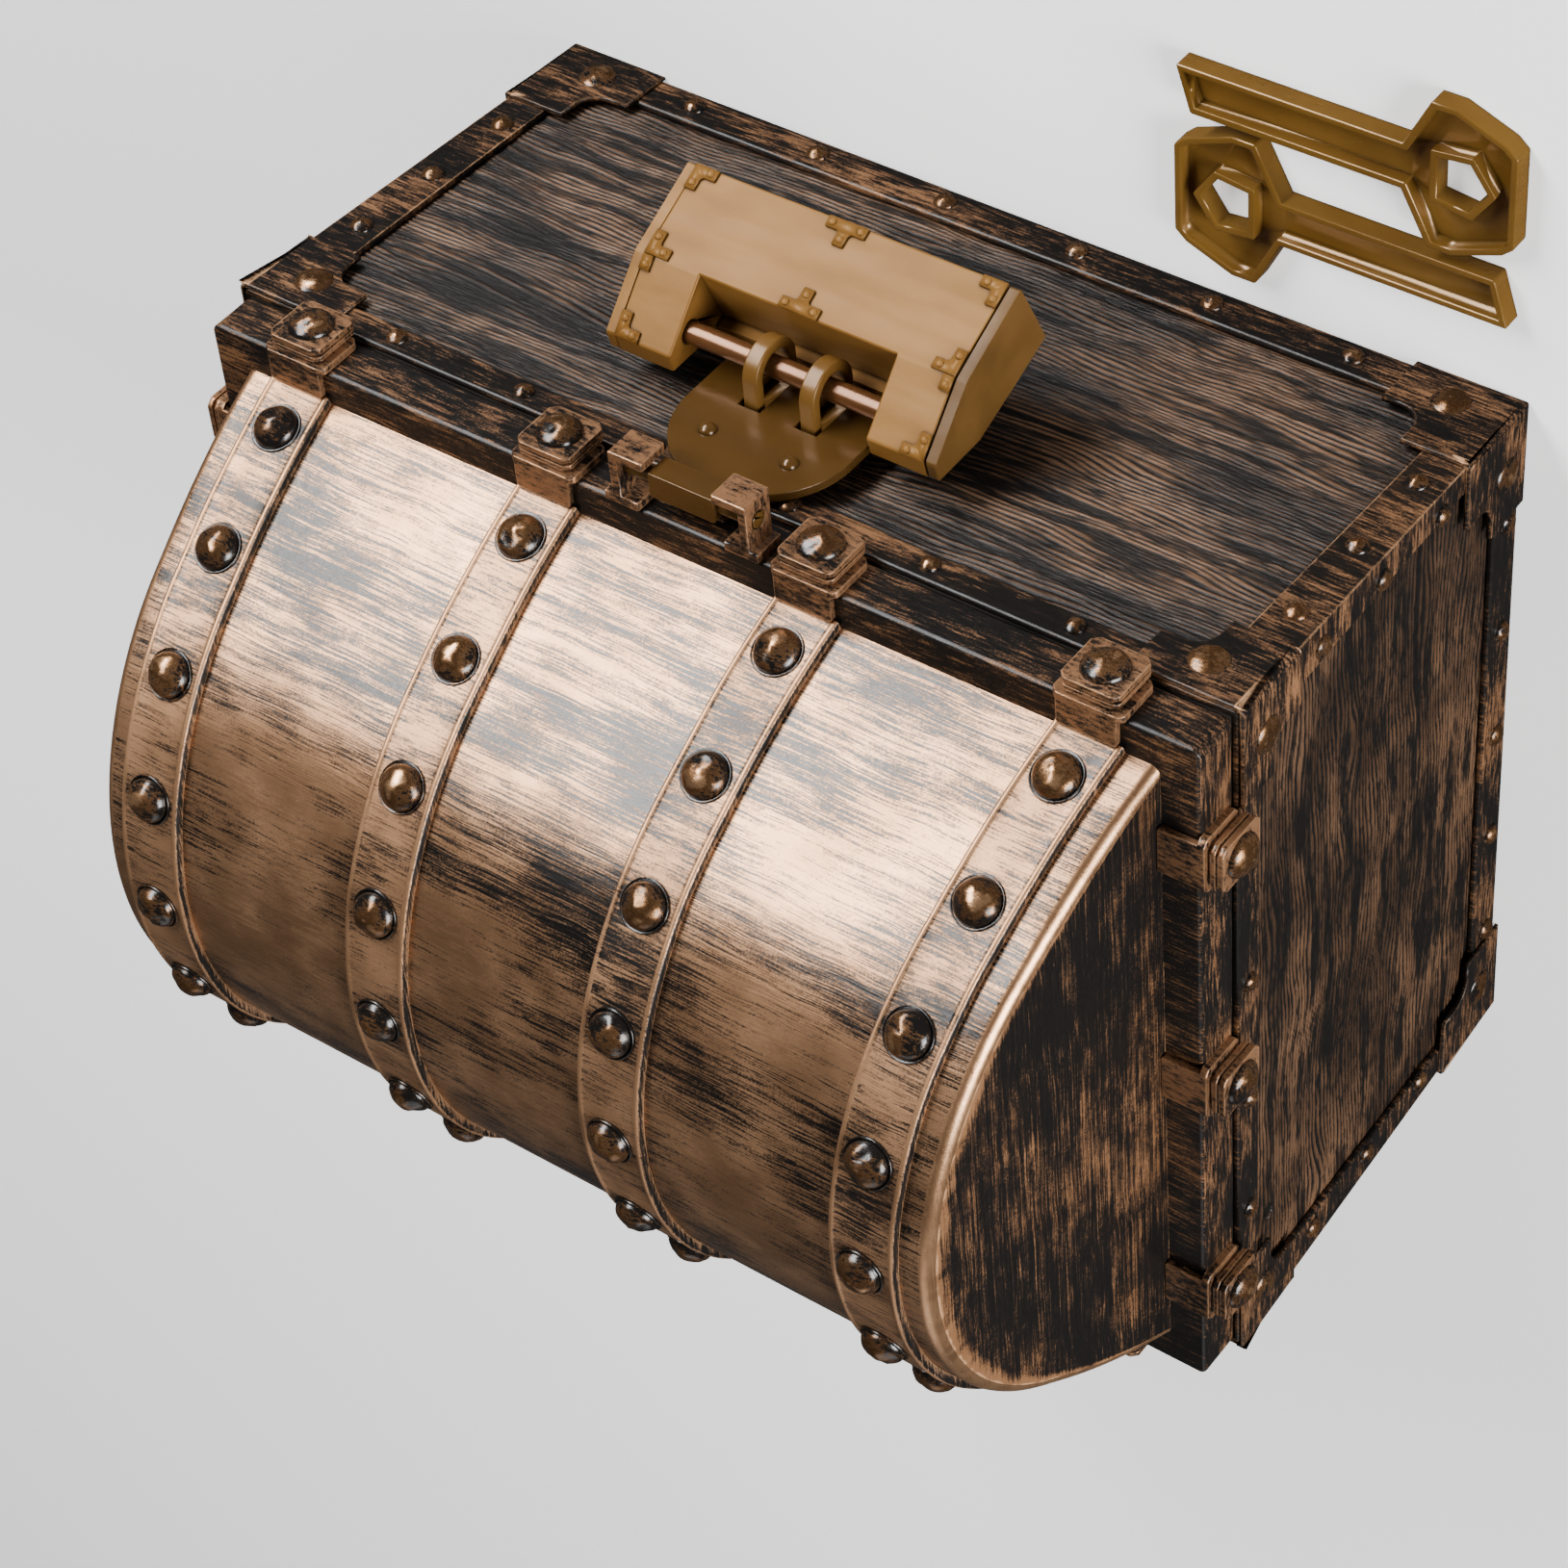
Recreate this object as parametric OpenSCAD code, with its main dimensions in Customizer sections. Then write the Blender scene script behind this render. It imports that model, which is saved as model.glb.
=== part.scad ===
// Toy treasure chest: a tapered box with a domed lid, hasp, sliding padlock and two keys.
// Front is -Y, left and right are as seen from the front, Z is up, origin under the box.

/* [Box] */
// Length of the box at the seam
box_l = 200; // [190:1:210]
// Depth of the box at the seam
box_d = 153; // [146:1:158]
// Height of the seam between box and lid
seam_z = 90.5; // [86:0.5:96]
// How far each end leans in at the bottom
end_lean = 1.9; // [0:0.1:3]
// How far the front and back lean in at the bottom
side_lean = 5.1; // [3:0.1:7]
// Thickness of the moulded walls
wall = 2.4; // [2:0.1:3]
// How far the edge bands stand out from the panels
band_t = 1.5; // [1:0.1:2]
// Height of the bottom band
bottom_band_h = 8.6; // [7:0.1:10]
// Height of the top band
top_band_h = 6.4; // [5:0.1:8]
// Width of the corner posts
post_w = 9.6; // [8:0.1:11]

/* [Lid] */
// Height of the rim round the lid
rim_h = 9.2; // [8:0.1:10]
// How far the rim sits in from the box
rim_inset = 0.8; // [0.5:0.1:1.5]
// Gap between box and lid
seam_gap = 0.4; // [0.3:0.1:0.8]
// Half width of the dome's ellipse
dome_w = 61; // [58:0.5:63]
// Height of the dome above the rim
dome_h = 59; // [54:0.5:62]
// How far the foot of the dome flares out
flare = 8; // [5:0.5:9]
// Height over which the flare fades
flare_h = 32; // [26:1:36]
// Half length of the dome where it meets the rim
dome_end = 92; // [90:0.5:93]
// How far the dome's ends lean in per millimetre of height
dome_lean = 0.1; // [0:0.01:0.15]

/* [Straps] */
// Places of the inner straps either side of the middle
strap_in = 26.2; // [24:0.2:30]
// Places of the outer straps either side of the middle
strap_out = 79.5; // [76:0.2:80]
// Width of a strap
strap_w = 12.5; // [10:0.5:13]
// Thickness of a strap
strap_t = 1.8; // [1.2:0.1:2.5]
// Rivets along each strap
strap_rivet_n = 9; // [6:1:11]
// Width of a strap rivet
strap_rivet_d = 9; // [6:0.5:9.5]
// Height of a strap rivet
strap_rivet_h = 3; // [2:0.1:4]

/* [Hasp] */
// Sideways offset of the hasp from the middle
hasp_x = -2; // [-4:0.5:2]
// Thickness of the hasp plate
hasp_t = 1.8; // [1.4:0.1:2.2]
// Width of the hasp's round plate
hasp_w = 33; // [28:0.5:34]
// Radius of the hasp's pivot pins
pivot_r = 1.6; // [1.2:0.1:2]
// Distance between the two staple loops
loop_gap = 11.4; // [10:0.2:13]

/* [Padlock] */
// Length of the padlock's case
lock_l = 62; // [58:1:66]
// Half width of the notch between its legs
notch = 19.7; // [18:0.1:20.5]
// Radius of the sliding bar
bar_r = 1.95; // [1.6:0.05:2.1]
// Wall of the padlock's case
lock_wall = 1.5; // [1.2:0.1:1.8]

/* [Keys] */
// Length of a key's shaft
key_shaft = 42; // [38:1:46]
// Width of a key's shaft
key_w = 8.8; // [8:0.2:10]
// Thickness of a key
key_t = 4; // [3:0.1:5]

/* [Hidden] */
$fn = 48;

dark = [0.13, 0.10, 0.085];
bronze = [0.42, 0.27, 0.17];
brass = [0.55, 0.38, 0.16];

big = 400;                    // longer than anything it cuts
embed = 0.4;                  // how deep a trim piece is let into what it sits on
fit = 0.05;                   // radial clearance of a running fit
half_l = box_l / 2;
half_d = box_d / 2;
rim_z0 = seam_z + seam_gap;
rim_z1 = rim_z0 + rim_h;
knuckle_out = 3.4;            // how far a hinge pin stands out behind the box
hinge_z = seam_z + seam_gap / 2;
hinge_x = 53;
rivet_d = 4.2;
rivet_h = 1.3;
guard_rivet_d = 7;
guard_rivet_h = 1.1;
guard_t = 0.9;
guard_w = 20;
guard_h = 20;
top_guard_h = 17.4;
guard_arm = 11.8;
top_guard_arm = 9.3;
guard_fillet = 4.6;
sides = [0, 1, 2, 3];         // 0 front, 1 right end, 2 back, 3 left end
function lean_of(k) = k % 2 == 0 ? side_lean : end_lean;
function reach_of(k) = k % 2 == 0 ? half_d : half_l;
function span_of(k) = k % 2 == 0 ? half_l : half_d;
function span_lean(k) = k % 2 == 0 ? end_lean : side_lean;

// Box trim
long_pitch = 27.3;
short_pitch = 24.5;
end_pitch = 28.2;
seam_rivet_d = 3.8;
top_rivet_z = seam_z - top_band_h / 2;
post_rivet_z = [27.5, 46.5, 65.5];
guard_rivet_in = 9.9;
guard_rivet_up = 7.1;
vent_x = -52.5;
vent_z = 79;
vent_r = 1.7;

// Hinges
leaf_w = 24;
leaf_h = 6;
leaf_t = 1.4;
leaf_gap = 0.3;
knuckle_r = 3;
knuckle_l = 8;
pin_r = 1.5;

// Lid
dome_steps = 28;
arc_steps = 60;
rivet_start = 9;              // length along a strap from its foot to its first rivet
dome_cut_z = rim_z1 + dome_h + 10;
rim_x = half_l - rim_inset;
rim_y = half_d - rim_inset;
strap_xs = [strap_out, strap_in, -strap_in, -strap_out];
clip_foot = 0.6;
clip_h = rim_h + 1.4;
clip_base_t = 1.4;
clip_out = 4.4;               // how far a clip stands out from the rim
clip_t = 1.1;
clip_ledge_out = 2.9;
clip_ledge_t = 0.9;
clip_narrow = 2.2;            // how much narrower a clip's outer plates are than its base
clip_over = 0.7;              // how far they hang below the rim
clip_short = 0.7;             // how far they stop short of the base's top
clip_core_narrow = 1;         // how much narrower and shorter the core is than they are
clip_core_short = 1.8;
clip_wrap_in = 1;             // how far the wrap over the rim is inset from the base's sides
clip_side = 0.6;              // how much wider a clip's base is than its strap
front_clip_in = rim_y - dome_w - flare - strap_t;
end_clip_ys = [-52.5, 0, 52.5];
end_clip_w = 11.5;
end_clip_in = rim_x - dome_end;
clip_rivet_z = 4.6;
clip_rivet_d = 8;
clip_rivet_h = 2.2;

// Hasp
plate_y = -(half_d + 1.4);    // back face of the hasp plate
plate_top_z = 76.5;
plate_low_z = 62;
hinge_bar = 4.8;
bar_half = 6.5;
pivot_y = plate_y - hasp_t - hinge_bar / 2 + 0.1;
pivot_z = rim_z0 + 6.6;
pivot_half = 13.8;
bracket_in = 6.9;
bracket_out = 13.7;
bracket_t = 1.7;
bracket_h = 6.5;
bracket_front = pivot_y - 4.4;
loop_z = 68;
loop_y = -84;
loop_r = 5.6;
loop_t = 2;
loop_w = 3;
slot_w = 4.4;
slot_h = 2 * loop_r + 1.2;
seat_y = plate_y + 0.4;
seat_t = 0.7;
hasp_rivet_out = 14;
hasp_rivet_d = 3.2;
hasp_rivet_h = 1.2;

// Padlock: its section as [y, z], anticlockwise from the lower front edge
foot = [-101.7, 48.4];
ridge = [-93.9, 64.2];
tip = [-83.3, 74];
section = [foot, [-87.5, 42], [-84.2, 50], [-79.9, 61], [-79.7, 73.2], tip, ridge];
hollow = inset(section, lock_wall);
half_lock = lock_l / 2;
face_low = norm(ridge - foot);
face_up = norm(tip - ridge);
floor_run = 14;
floor_fall = 5.7;
bar_at = [-84.6, 68];
end_t = 2;
cap_gap = 0.3;
bar_seat = 1.4;
bar_end = 27;
key_slot_at = [-90.4, 53];
slot_room = 0.45;
mount_w = 2;
mount_arm = 4.6;
mount_half = 3.8;
mount_tab = 2.7;
mount_fillet = 0.7;
stud_end = 0.2;               // how far a stud is drawn in from its arm's end
mount_t_h = 0.5;
stud_r = 0.65;
stud_h = 0.4;
stem_t = 1.6;
stem_h = 7;
leaf_tip = 40;
leaf_back = 8;
leaf_out = 2.6;
leaf_spring_t = 0.8;
leaf_spring_h = 5;

// Keys
head_w = 28.4;
key_floor = 1.4;
key_wall = 1.3;
key_1_at = [-96, -93, 0];
key_2_at = [-34, -113.5, 0];

// A block whose four sides lean, cut between two heights; grow moves its sides outwards
module leaning_block(grow, z0, z1) {
    intersection() {
        rotate([90, 0, 0]) linear_extrude(big, center = true)
            lean_section(half_l + grow, end_lean, z0, z1);
        rotate([90, 0, 90]) linear_extrude(big, center = true)
            lean_section(half_d + grow, side_lean, z0, z1);
    }
}
module lean_section(reach, lean, z0, z1) {
    x0 = reach - lean * (1 - z0 / seam_z);
    x1 = reach - lean * (1 - z1 / seam_z);
    polygon([[-x0, z0], [x0, z0], [x1, z1], [-x1, z1]]);
}

// Puts children on a side of the box: x along it, y up it, z out of it
module on_side(k) {
    rotate([0, 0, 90 * k]) translate([0, -(reach_of(k) - lean_of(k)), 0])
        rotate([90 + atan(lean_of(k) / seam_z), 0, 0]) children();
}

// A low domed rivet head that stands on z = 0 and is let in a little
module rivet(d, h) {
    ball = (d * d / 4 + h * h) / (2 * h);
    intersection() {
        translate([0, 0, h - ball]) sphere(ball);
        translate([0, 0, -embed]) cylinder(d = d, h = h + embed);
    }
}

// ---- box ----
module base_shell() color(dark) difference() {
    leaning_block(-band_t, 0, seam_z);
    leaning_block(-band_t - wall, wall, seam_z + 1);
    on_side(3) translate([vent_x, vent_z, 0]) cylinder(r = vent_r, h = 4 * wall, center = true);
}
module band(z0, z1) color(bronze) difference() {
    leaning_block(0, z0, z1);
    leaning_block(-band_t, z0 - 1, z1 + 1);
}
module bottom_band() band(0, bottom_band_h);
module top_band() band(seam_z - top_band_h, seam_z);
module corner_posts() color(bronze) difference() {
    leaning_block(0, bottom_band_h, seam_z - top_band_h);
    leaning_block(-band_t, bottom_band_h - 1, seam_z - top_band_h + 1);
    cube([2 * (half_l - post_w), big, big], center = true);
    cube([big, 2 * (half_d - post_w), big], center = true);
}

// A corner plate's outline from its corner: two arms with a round between them, drawn past the
// corner so that the two sides' plates meet
module corner_plate(h, arm) difference() {
    translate([-side_lean, 0]) square([guard_w + side_lean, h]);
    translate([guard_arm + guard_fillet, arm]) square(guard_w);
    translate([guard_arm, arm + guard_fillet]) square(guard_w);
    translate([guard_arm + guard_fillet, arm + guard_fillet]) circle(guard_fillet);
}
// Four guards that wrap the box's corners between two heights
module guards(z0, z1, at_top) color(bronze) intersection() {
    difference() {
        leaning_block(guard_t, z0, z1);
        leaning_block(0, z0 - 1, z1 + 1);
    }
    union() for (k = sides, s = [0, 1]) on_side(k) mirror([s, 0, 0])
        translate([at_top ? -span_of(k) : span_lean(k) - span_of(k), at_top ? seam_z : 0, -guard_t / 2])
            mirror([0, at_top ? 1 : 0, 0]) linear_extrude(3 * guard_t)
                corner_plate(z1 - z0, at_top ? top_guard_arm : guard_arm);
}
module bottom_corner_guards() guards(0, guard_h, false);
module top_corner_guards() guards(seam_z - top_guard_h, seam_z, true);

// A row of rivets along a side, centred
module rivet_row(n, pitch, z, d) for (i = [0 : 1 : n - 1])
    translate([(i - (n - 1) / 2) * pitch, z, 0]) rivet(d, rivet_h);
module band_rivets() color(bronze) for (k = sides) on_side(k) {
    long = k % 2 == 0;
    rivet_row(long ? 6 : 5, long ? long_pitch : short_pitch, bottom_band_h / 2, rivet_d);
    if (k != 2) rivet_row(long ? 6 : 4, long ? long_pitch : end_pitch, top_rivet_z, seam_rivet_d);
    for (s = [-1, 1], z = post_rivet_z)
        translate([s * (span_of(k) - post_w / 2 - span_lean(k) * (1 - z / seam_z)), z, 0])
            rivet(rivet_d, rivet_h);
}
module guard_rivets() color(bronze) for (k = sides, s = [-1, 1]) on_side(k) {
    translate([s * (span_of(k) - span_lean(k) - guard_rivet_in), guard_rivet_up, guard_t])
        rivet(guard_rivet_d, guard_rivet_h);
    translate([s * (span_of(k) - guard_rivet_in), seam_z - guard_rivet_up, guard_t])
        rivet(guard_rivet_d, guard_rivet_h);
}

// ---- hinges at the back ----
module knuckle(x, r, l) translate([x - l / 2, knuckle_out, 0]) rotate([0, 90, 0]) cylinder(r = r, h = l);
// A leaf and its knuckles; up is true for the leaf on the lid
module hinge_leaf(up, own, other) difference() {
    union() {
        translate([-leaf_w / 2, 0, up ? leaf_gap : -leaf_h - leaf_gap]) cube([leaf_w, leaf_t, leaf_h]);
        for (x = own) {
            knuckle(x, knuckle_r, knuckle_l - 2 * leaf_gap);
            translate([x - knuckle_l / 2 + leaf_gap, 0, up ? leaf_gap : -leaf_gap - knuckle_r / 2])
                cube([knuckle_l - 2 * leaf_gap, knuckle_out, knuckle_r / 2]);
        }
    }
    for (x = other) knuckle(x, knuckle_r + leaf_gap, knuckle_l);
    knuckle(0, pin_r + (up ? fit : 0), big);
}
module at_hinges() for (s = [-1, 1]) translate([s * hinge_x, half_d, hinge_z]) children();
module base_hinge_leaves() color(bronze) at_hinges() hinge_leaf(false, [-knuckle_l, knuckle_l], [0]);
module lid_hinge_leaves() color(bronze) at_hinges() hinge_leaf(true, [0], [-knuckle_l, knuckle_l]);
module hinge_pins() color(bronze) at_hinges() knuckle(0, pin_r, leaf_w);

// ---- lid ----
// The dome is a half ellipse with a foot that flares; a is 0 at the foot and 90 at the top
function flare_at(z) = flare * pow(max(0, 1 - (z - rim_z1) / flare_h), 1.5);
function dome_z(a, grow) = rim_z1 + (dome_h + grow) * sin(a);
function dome_y(a, grow) = (dome_w + grow) * cos(a) + flare_at(dome_z(a, grow));
function dome_side(grow) = [for (i = [0 : dome_steps])
    [dome_y(90 * i / dome_steps, grow), dome_z(90 * i / dome_steps, grow)]];
function dome_points(grow) = concat(dome_side(grow),
    [for (i = [dome_steps - 1 : -1 : 0]) [-dome_side(grow)[i][0], dome_side(grow)[i][1]]]);
function lean_in(x, z) = x - dome_lean * x / dome_end * (z - rim_z1);
// A solid with the dome's profile between two leaning planes that meet the rim at x0 and x1
module dome_slice(x0, x1) intersection() {
    rotate([90, 0, 90]) linear_extrude(big, center = true) children();
    rotate([90, 0, 0]) linear_extrude(big, center = true)
        polygon([[x0, rim_z1], [x1, rim_z1], [lean_in(x1, dome_cut_z), dome_cut_z],
            [lean_in(x0, dome_cut_z), dome_cut_z]]);
}
module lid_shell() color(dark) difference() {
    dome_slice(-dome_end, dome_end) polygon(dome_points(0));
    dome_slice(wall - dome_end, dome_end - wall) polygon(dome_points(-wall));
}
module lid_rim() color(bronze) difference() {
    translate([-rim_x, -rim_y, rim_z0]) cube([2 * rim_x, 2 * rim_y, rim_h]);
    translate([wall - dome_end, wall - dome_w - flare, rim_z0 - 1])
        cube([2 * (dome_end - wall), 2 * (dome_w + flare - wall), rim_h + 2]);
}
module strap(x) color(bronze) dome_slice(x - strap_w / 2, x + strap_w / 2) difference() {
    polygon(dome_points(strap_t));
    polygon(dome_points(0));
}
module strap_right_outer() strap(strap_out);
module strap_right_inner() strap(strap_in);
module strap_left_inner() strap(-strap_in);
module strap_left_outer() strap(-strap_out);

// Pairs of length along a strap from its foot and the dome's angle there
function arc_point(i) = [dome_y(90 * i / arc_steps, strap_t), dome_z(90 * i / arc_steps, strap_t)];
function arc_pairs(i, s) = i > arc_steps ? []
    : concat([[s, 90 * i / arc_steps]], arc_pairs(i + 1, s + norm(arc_point(i + 1) - arc_point(i))));
arc = arc_pairs(0, 0);
arc_half = arc[arc_steps][0];
// Tilt of the strap's outward normal from straight up
function tilt_at(a) = atan2(dome_z(a + 0.5, strap_t) - dome_z(a - 0.5, strap_t),
    dome_y(a - 0.5, strap_t) - dome_y(a + 0.5, strap_t));
module strap_rivets() color(bronze) for (x = strap_xs, i = [0 : strap_rivet_n - 1]) {
    s = rivet_start + 2 * (arc_half - rivet_start) * i / (strap_rivet_n - 1);
    side = s < arc_half ? -1 : 1;
    a = lookup(min(s, 2 * arc_half - s), arc);
    translate([lean_in(x, dome_z(a, strap_t)), side * dome_y(a, strap_t), dome_z(a, strap_t)])
        rotate([-side * tilt_at(a), 0, 0]) rivet(strap_rivet_d, strap_rivet_h);
}

// A plate with cut corners, centred on x, standing on y = 0
module clip_plate(w, h) polygon([[-w / 2 + 1, 0], [w / 2 - 1, 0], [w / 2, 1], [w / 2, h - 1],
    [w / 2 - 1, h], [1 - w / 2, h], [-w / 2, h - 1], [-w / 2, 1]]);
// A stepped clip over the rim: x along the rim, y up, z out; inward is how far it runs onto the rim
module rim_clip(w, inward) {
    plate_h = clip_h - clip_short + clip_over;
    translate([0, clip_foot, 0]) linear_extrude(clip_base_t) clip_plate(w, clip_h - clip_foot);
    translate([0, clip_foot, 0]) linear_extrude(clip_out)
        clip_plate(w - clip_narrow - clip_core_narrow, plate_h - clip_core_short);
    translate([0, -clip_over, clip_ledge_out - clip_ledge_t]) linear_extrude(clip_ledge_t)
        clip_plate(w - clip_narrow, plate_h);
    translate([0, -clip_over, clip_out - clip_t]) linear_extrude(clip_t) clip_plate(w - clip_narrow, plate_h);
    translate([clip_wrap_in - w / 2, rim_h, -inward]) cube([w - 2 * clip_wrap_in, clip_h - rim_h, inward]);
}
module at_clips_long(s) for (x = strap_xs) rotate([0, 0, s > 0 ? 180 : 0])
    translate([-s * x, -rim_y, rim_z0]) rotate([90, 0, 0]) children();
module at_clips_end(s) for (y = end_clip_ys) rotate([0, 0, s * 90])
    translate([s * y, -rim_x, rim_z0]) rotate([90, 0, 0]) children();
module front_clips() color(bronze) at_clips_long(-1) rim_clip(strap_w + clip_side, front_clip_in);
module rear_clips() color(bronze) at_clips_long(1) rim_clip(strap_w + clip_side, front_clip_in);
module right_end_clips() color(bronze) at_clips_end(1) rim_clip(end_clip_w, end_clip_in);
module left_end_clips() color(bronze) at_clips_end(-1) rim_clip(end_clip_w, end_clip_in);
module clip_head() translate([0, clip_rivet_z, clip_out]) rivet(clip_rivet_d, clip_rivet_h);
module clip_rivets() color(bronze) for (s = [-1, 1]) {
    at_clips_long(s) clip_head();
    at_clips_end(s) clip_head();
}

// Two channel brackets that carry the hasp's pivot pins
module hasp_brackets() color(bronze) for (s = [0, 1]) translate([hasp_x, 0, pivot_z])
    mirror([s, 0, 0]) difference() {
        translate([0, 0, -bracket_h / 2]) linear_extrude(bracket_h) polygon([
            [bracket_in, bracket_front], [bracket_out, bracket_front], [bracket_out, -rim_y - bracket_t],
            [bracket_out + bracket_t, -rim_y - bracket_t], [bracket_out + bracket_t, -rim_y],
            [bracket_in + bracket_t, -rim_y], [bracket_in + bracket_t, -rim_y - bracket_t],
            [bracket_out - bracket_t, -rim_y - bracket_t],
            [bracket_out - bracket_t, bracket_front + bracket_t], [bracket_in, bracket_front + bracket_t]]);
        translate([0, pivot_y, 0]) rotate([0, 90, 0]) cylinder(r = pivot_r + fit, h = big);
    }

// ---- hasp ----
module hasp_outline() difference() {
    union() {
        translate([0, plate_top_z]) circle(hasp_w / 2);
        translate([0, plate_low_z]) circle(hasp_w / 2);
        translate([-hasp_w / 2, plate_low_z]) square([hasp_w, plate_top_z - plate_low_z]);
        translate([-bar_half, plate_top_z]) square([2 * bar_half, pivot_z - plate_top_z]);
    }
    for (s = [-1, 1]) translate([s * loop_gap / 2, loop_z]) square([slot_w, slot_h], center = true);
}
module hasp_plate() color(brass) translate([hasp_x, 0, 0]) {
    translate([0, plate_y, 0]) rotate([90, 0, 0]) linear_extrude(hasp_t) hasp_outline();
    translate([-bar_half, plate_y - hasp_t - hinge_bar + 0.1, pivot_z - hinge_bar / 2])
        cube([2 * bar_half, hinge_bar, hinge_bar]);
    translate([-pivot_half, pivot_y, pivot_z]) rotate([0, 90, 0]) cylinder(r = pivot_r, h = 2 * pivot_half);
}
module hasp_rivets() color(brass) for (x = [-1, 1], z = [-1, 1])
    translate([hasp_x + x * loop_gap * 0.72, plate_y - hasp_t, loop_z + z * hasp_rivet_out])
        rotate([90, 0, 0]) rivet(hasp_rivet_d, hasp_rivet_h);
// Two arches through the hasp's slots, joined by a seat behind the plate
module staple_loops() color(brass) {
    for (s = [-1, 1]) translate([hasp_x + s * loop_gap / 2 - loop_w / 2, loop_y, loop_z])
        rotate([90, 0, 90]) linear_extrude(loop_w) difference() {
            union() {
                circle(loop_r);
                translate([0, -loop_r]) square([seat_y - loop_y, 2 * loop_r]);
            }
            circle(loop_r - loop_t);
            translate([0, loop_t - loop_r]) square([seat_y - loop_y + 1, 2 * (loop_r - loop_t)]);
        }
    translate([hasp_x - loop_gap / 2 - loop_w, seat_y, loop_z - loop_r - 1])
        cube([loop_gap + 2 * loop_w, seat_t, 2 * loop_r + 2]);
}

// ---- padlock ----
// Moves every edge of an anticlockwise outline inwards by d
function inset(p, d) = [for (i = [0 : len(p) - 1]) let (
    a = p[(i + len(p) - 1) % len(p)], b = p[i], c = p[(i + 1) % len(p)],
    u = (b - a) / norm(b - a), v = (c - b) / norm(c - b),
    m = [-u[1] - v[1], u[0] + v[0]]) b + m * (2 * d / (m * m))];
module along_x(x0, x1) translate([x0, 0, 0]) rotate([90, 0, 90]) linear_extrude(x1 - x0) children();
// Everything above the notch's floor, lowered by drop
module above_floor(drop) polygon([[ridge[0] - 2 * floor_run, ridge[1] + 2 * floor_fall - drop],
    [ridge[0] + 2 * floor_run, ridge[1] - 2 * floor_fall - drop], [ridge[0] + 2 * floor_run, big],
    [ridge[0] - 2 * floor_run, big]]);
module back_strip() polygon(concat([for (i = [1 : 3]) section[i]], [for (i = [3 : -1 : 1]) hollow[i]]));
module padlock_case() color(brass) difference() {
    along_x(-half_lock, half_lock) polygon(section);
    difference() {
        along_x(-half_lock - 1, half_lock + 1) polygon(hollow);
        along_x(-notch - lock_wall, notch + lock_wall) above_floor(lock_wall);
    }
    along_x(-notch, notch) above_floor(0);
    along_x(-half_lock - 1, half_lock + 1) back_strip();
    along_x(-half_lock - 1, half_lock + 1) translate(bar_at) circle(bar_r + fit);
}
module padlock_back_cover() color(brass) along_x(-half_lock, half_lock) back_strip();
module padlock_key_end() color(brass) difference() {
    along_x(half_lock, half_lock + end_t) polygon(section);
    along_x(half_lock - 1, half_lock + end_t + 1) translate(key_slot_at)
        square([key_t + 2 * slot_room, key_w + 2 * slot_room], center = true);
}
// Puts children on the face from section point a to b: x along the lock, y up the face, z out
module on_lock_face(a, b) translate([0, a[0], a[1]])
    rotate([atan2(b[1] - a[1], b[0] - a[0]), 0, 0]) children();
// The round in the corner between two arms of a mount
module mount_round() difference() {
    square(mount_fillet);
    translate([mount_fillet, mount_fillet]) circle(mount_fillet);
}
module mount_l() {
    square([mount_arm, mount_w]);
    square([mount_w, mount_arm]);
    translate([mount_w, mount_w]) mount_round();
}
module mount_t() {
    translate([-mount_half, 0]) square([2 * mount_half, mount_w]);
    translate([-mount_w / 2, 0]) square([mount_w, mount_arm]);
    for (s = [0, 1]) mirror([s, 0, 0]) translate([mount_w / 2, mount_w]) mount_round();
}
// Both ends of one edge of a face, with the children drawn into the face
module lock_corners(y, up) for (s = [0, 1]) mirror([s, 0, 0]) translate([-half_lock, y, 0])
    mirror([0, up ? 0 : 1, 0]) children();
module at_lock_corners() {
    on_lock_face(foot, ridge) lock_corners(0, true) children();
    on_lock_face(foot, ridge) lock_corners(face_low, false) children();
    on_lock_face(ridge, tip) lock_corners(face_up, false) children();
}
module at_lock_tabs() on_lock_face(ridge, tip) lock_corners(0, true) children();
module at_lock_middles() on_lock_face(foot, ridge) {
    children();
    translate([0, face_low, 0]) mirror([0, 1, 0]) children();
}
module padlock_mounts() color(brass) {
    at_lock_corners() linear_extrude(mount_t_h) mount_l();
    at_lock_tabs() linear_extrude(mount_t_h) square([mount_w, mount_tab]);
    at_lock_middles() linear_extrude(mount_t_h) mount_t();
}
module stud(x, y) translate([x, y, mount_t_h]) cylinder(r1 = stud_r, r2 = stud_r * 0.7, h = stud_h);
module padlock_studs() color(brass) {
    near = mount_w / 2;
    far = mount_arm - near - stud_end;
    at_lock_corners() {
        stud(far, near);
        stud(near, far);
    }
    at_lock_tabs() stud(near, mount_tab - near);
    at_lock_middles() {
        stud(near - mount_half, near);
        stud(mount_half - near, near);
        stud(0, far);
    }
}

// ---- sliding bolt ----
module bolt_end_cap() color(brass) difference() {
    along_x(-half_lock - cap_gap - end_t, -half_lock - cap_gap) polygon(section);
    along_x(-half_lock - cap_gap - bar_seat, 0) translate(bar_at) circle(bar_r);
}
module bolt_bar() color(brass) along_x(-half_lock - cap_gap - bar_seat, bar_end)
    translate(bar_at) circle(bar_r);
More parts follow.
